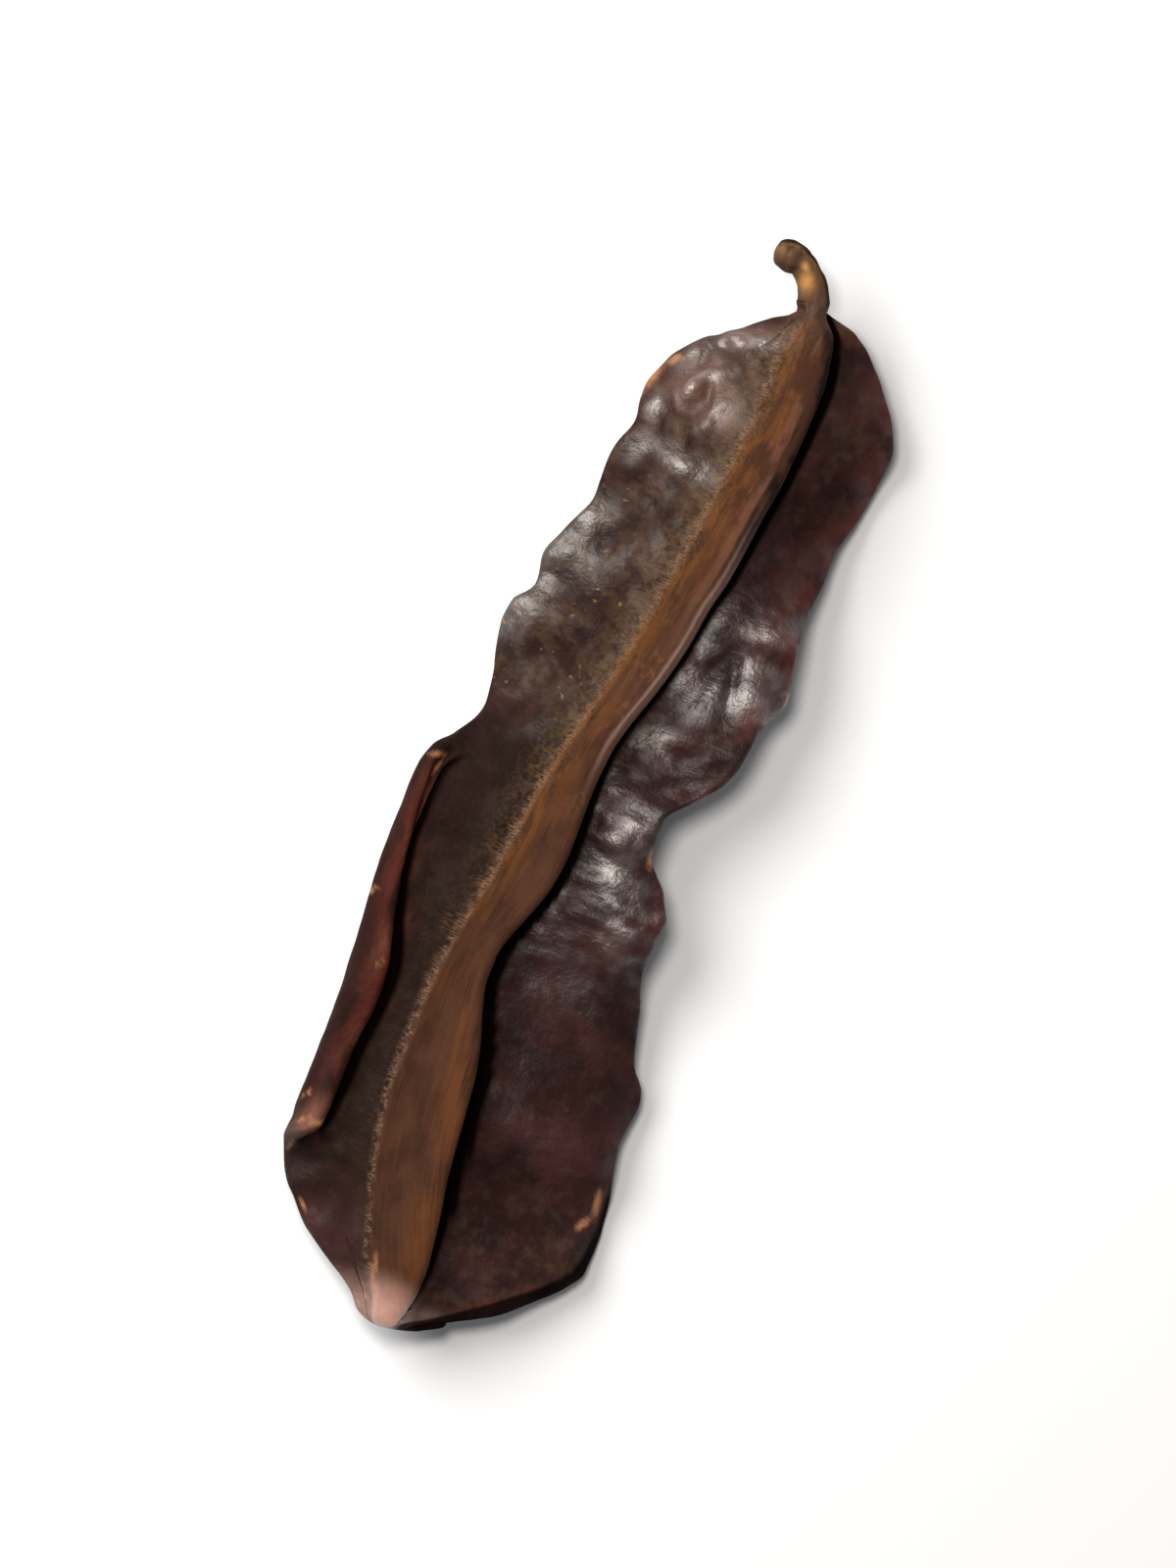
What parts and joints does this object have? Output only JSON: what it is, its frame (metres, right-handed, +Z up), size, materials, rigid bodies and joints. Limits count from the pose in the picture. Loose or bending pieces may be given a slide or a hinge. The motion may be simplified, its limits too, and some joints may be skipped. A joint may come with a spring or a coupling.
{
  "type": "aridan pod",
  "caption": "Whole dried aridan pod with lengthwise wings, a rolled margin and a bent stalk stub, lying on a surface.",
  "frame": {"origin": "under the middle of the pod, on the surface it lies on", "axes": "+Y along the pod from the apex to the stalk, +X to the right as seen from above, +Z up"},
  "size_m": [0.0608, 0.2016, 0.029],
  "materials": {
    "husk": "dry, leathery and slightly glossy, dark purple-brown with a matte brown front wing"
  },
  "bodies": {
    "root": {"aridan_pod": "husk"}
  },
  "joints": []
}
